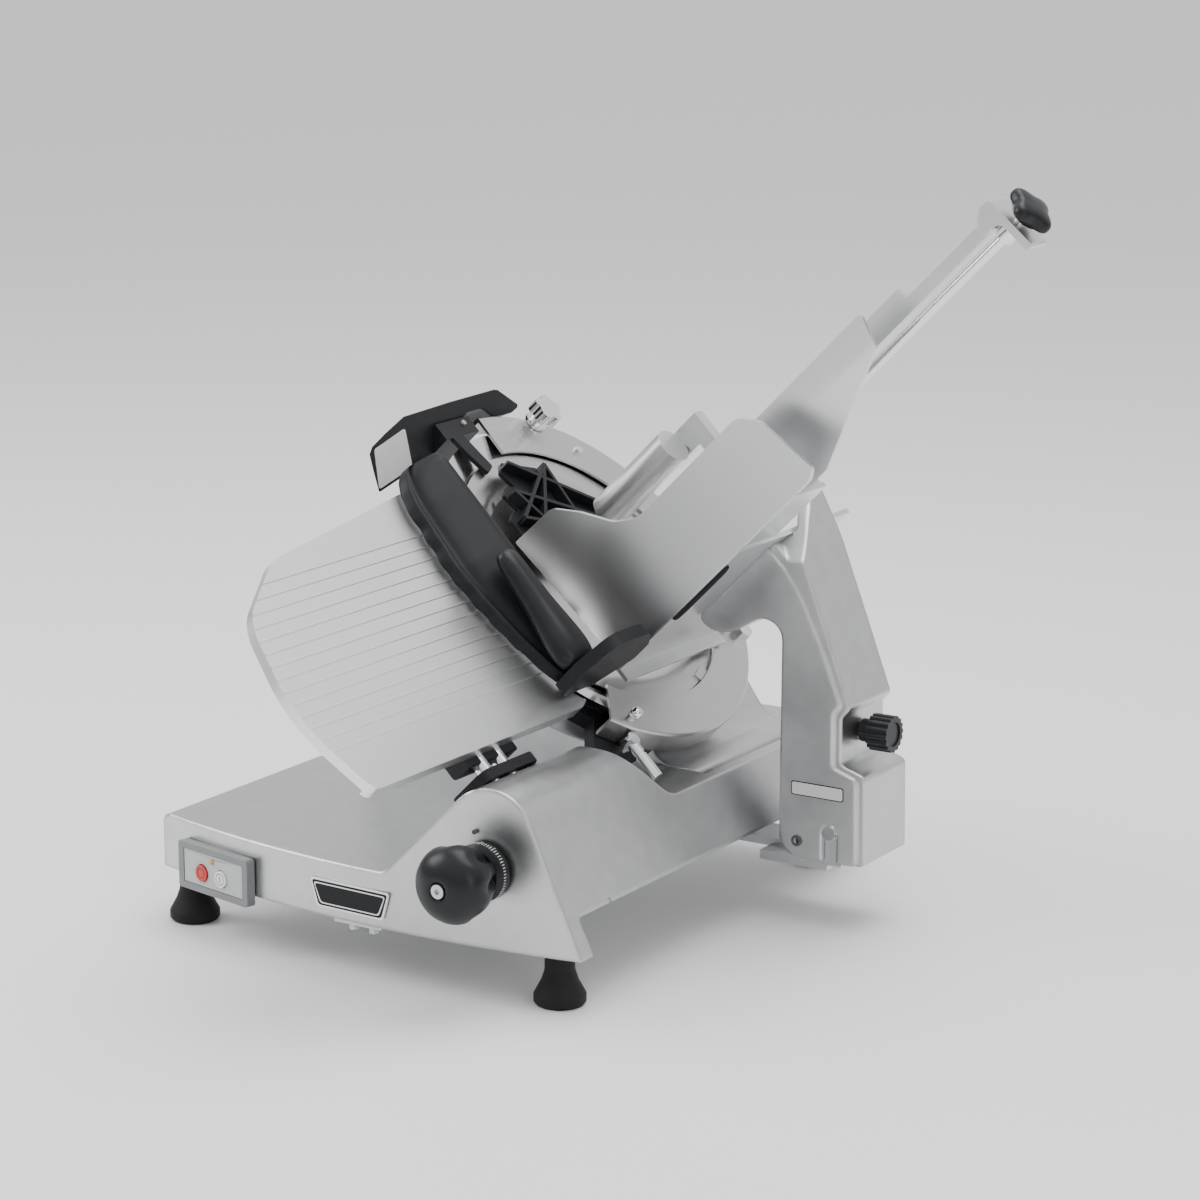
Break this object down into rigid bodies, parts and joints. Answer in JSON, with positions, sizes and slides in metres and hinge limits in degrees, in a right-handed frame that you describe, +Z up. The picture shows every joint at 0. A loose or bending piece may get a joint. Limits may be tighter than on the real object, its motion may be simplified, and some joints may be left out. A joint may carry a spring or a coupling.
{
  "type": "deli meat slicer",
  "caption": "Countertop gravity-feed slicer with a tilted round knife, ribbed gauge plate, sliding food chute with pusher, cast base and bell feet.",
  "frame": {"origin": "centre of the machine's bounding box in plan, on the surface it stands on", "axes": "+X to the carriage side on the operator's right, +Y from the operator to the back, +Z up"},
  "size_m": [0.7119, 0.6683, 0.6744],
  "materials": {
    "cast": "bead-blasted and satin-polished cast aluminium",
    "plate": "brushed anodised aluminium",
    "steel": "turned or brushed steel",
    "chrome": "bright chrome plate",
    "knife_steel": "ground and polished steel",
    "rubber": "matt moulded rubber",
    "black": "fine-textured black moulding",
    "dark": "dark motor enamel",
    "grey": "grey moulding",
    "film": "printed polyester film",
    "red": "red moulding",
    "white": "white moulding",
    "lens": "pale lamp lens",
    "board": "circuit board lacquer",
    "stone": "bonded abrasive"
  },
  "bodies": {
    "base": {"base_casting": "cast", "base_cover": "plate", "cover_screws": "steel", "foot_front_left": "rubber", "foot_front_right": "rubber", "foot_rear_left": "rubber", "foot_rear_right": "rubber", "control_box": "grey", "membrane": "film", "pilot_lamp": "lens", "badge_plate": "plate", "front_bracket": "steel", "index_mark": "dark", "control_board": "board", "power_inlet": "black", "guide_rod": "steel", "knife_housing": "cast", "ring_guard": "plate", "hub_bearings": "steel", "knife_cover": "plate", "cover_pins": "chrome", "lower_bracket": "black", "slice_deflector": "plate", "motor": "dark", "drive_belt": "rubber", "transport_rod": "chrome", "transport_mounts": "steel"},
    "start_button": {"start_button": "white"},
    "stop_button": {"stop_button": "red"},
    "index": {"index_knob": "black", "index_dial": "black", "index_screw": "steel", "index_shaft": "steel"},
    "gauge": {"gauge_plate": "plate", "gauge_bracket": "black", "gauge_stems": "chrome", "gauge_follower": "steel", "rubber_boot": "rubber"},
    "knife": {"knife": "knife_steel", "knife_hub": "steel"},
    "motor_rotor": {"motor_pulley": "steel"},
    "star_knob": {"star_knob": "chrome"},
    "release_lever": {"release_lever": "chrome"},
    "sharpener": {"sharpener_hood": "black", "sharpener_body": "black"},
    "stones": {"sharpening_stones": "stone"},
    "transport": {"transport_block": "steel", "hinge_pin": "chrome"},
    "carriage": {"carriage_arm": "cast", "chute": "plate", "hand_guard": "black", "guard_grip": "black", "end_flange": "black", "slide_bar": "plate", "slide_rod": "chrome"},
    "lock_knob": {"lock_knob": "black"},
    "rod_knob": {"rod_knob": "black"},
    "pusher_carrier": {"pusher_sleeve": "steel"},
    "pusher": {"pusher_arm": "plate", "pusher_plate": "black"}
  },
  "joints": [
    {"name": "carriage_slide", "type": "slide", "parent": "base", "child": "transport", "axis": [0, -1, 0], "range_m": [0, 0.3]},
    {"name": "carriage_tilt", "type": "hinge", "parent": "transport", "child": "carriage", "pos_m": [0.16426, 0.171, 0.09], "axis": [0, 1, 0], "range_deg": [0, 35]},
    {"name": "tilt_lock_knob", "type": "hinge", "parent": "carriage", "child": "lock_knob", "pos_m": [0.19426, 0.171, 0.178], "axis": [1, 0, 0], "range_deg": [-360, 0]},
    {"name": "index_turn", "type": "hinge", "parent": "base", "child": "index", "pos_m": [0.02026, -0.189, 0.119], "axis": [0, -1, 0], "range_deg": [0, 300]},
    {"name": "gauge_slide", "type": "slide", "parent": "base", "child": "gauge", "axis": [-0.7071, 0, -0.7071], "range_m": [0, 0.022]},
    {"name": "knife_spin", "type": "hinge", "parent": "base", "child": "knife", "pos_m": [-0.08974, 0.133, 0.294], "axis": [0.7071, 0, 0.7071], "continuous": true},
    {"name": "motor_spin", "type": "hinge", "parent": "base", "child": "motor_rotor", "pos_m": [-0.09964, 0.193, 0.16248], "axis": [0.7071, 0, 0.7071], "continuous": true},
    {"name": "start_press", "type": "slide", "parent": "base", "child": "start_button", "axis": [0.2103, 0.9776, 0], "range_m": [0, 0.001], "stiffness_N_per_m": 800},
    {"name": "stop_press", "type": "slide", "parent": "base", "child": "stop_button", "axis": [0.2103, 0.9776, 0], "range_m": [0, 0.001], "stiffness_N_per_m": 800},
    {"name": "pusher_slide", "type": "slide", "parent": "carriage", "child": "pusher_carrier", "axis": [0.7071, 0, 0.7071], "range_m": [0, 0.25]},
    {"name": "star_knob_turn", "type": "hinge", "parent": "base", "child": "star_knob", "pos_m": [-0.20414, 0.21191, 0.4084], "axis": [0.7071, 0, 0.7071], "range_deg": [0, 360]},
    {"name": "release_lever_turn", "type": "hinge", "parent": "base", "child": "release_lever", "pos_m": [0.01916, 0.03, 0.17662], "axis": [0.7071, 0, 0.7071], "range_deg": [0, 35]},
    {"name": "sharpener_lift", "type": "slide", "parent": "base", "child": "sharpener", "axis": [-0.7071, 0, 0.7071], "range_m": [0, 0.03]},
    {"name": "stone_spin", "type": "hinge", "parent": "sharpener", "child": "stones", "pos_m": [-0.23116, 0.111, 0.40714], "axis": [0.7071, 0, 0.7071], "continuous": true},
    {"name": "rod_knob_turn", "type": "hinge", "parent": "carriage", "child": "rod_knob", "pos_m": [0.32463, 0.154, 0.64331], "axis": [0.7071, 0, 0.7071], "range_deg": [-360, 0]},
    {"name": "pusher_swing", "type": "hinge", "parent": "pusher_carrier", "child": "pusher", "pos_m": [0.07219, 0.154, 0.39087], "axis": [-0.7071, 0, -0.7071], "range_deg": [0, 80]}
  ],
  "couplings": [
    {"joint": "index_turn", "follows": "gauge_slide", "rad_per_m": 237.99},
    {"joint": "motor_spin", "follows": "knife_spin", "ratio": 2}
  ]
}
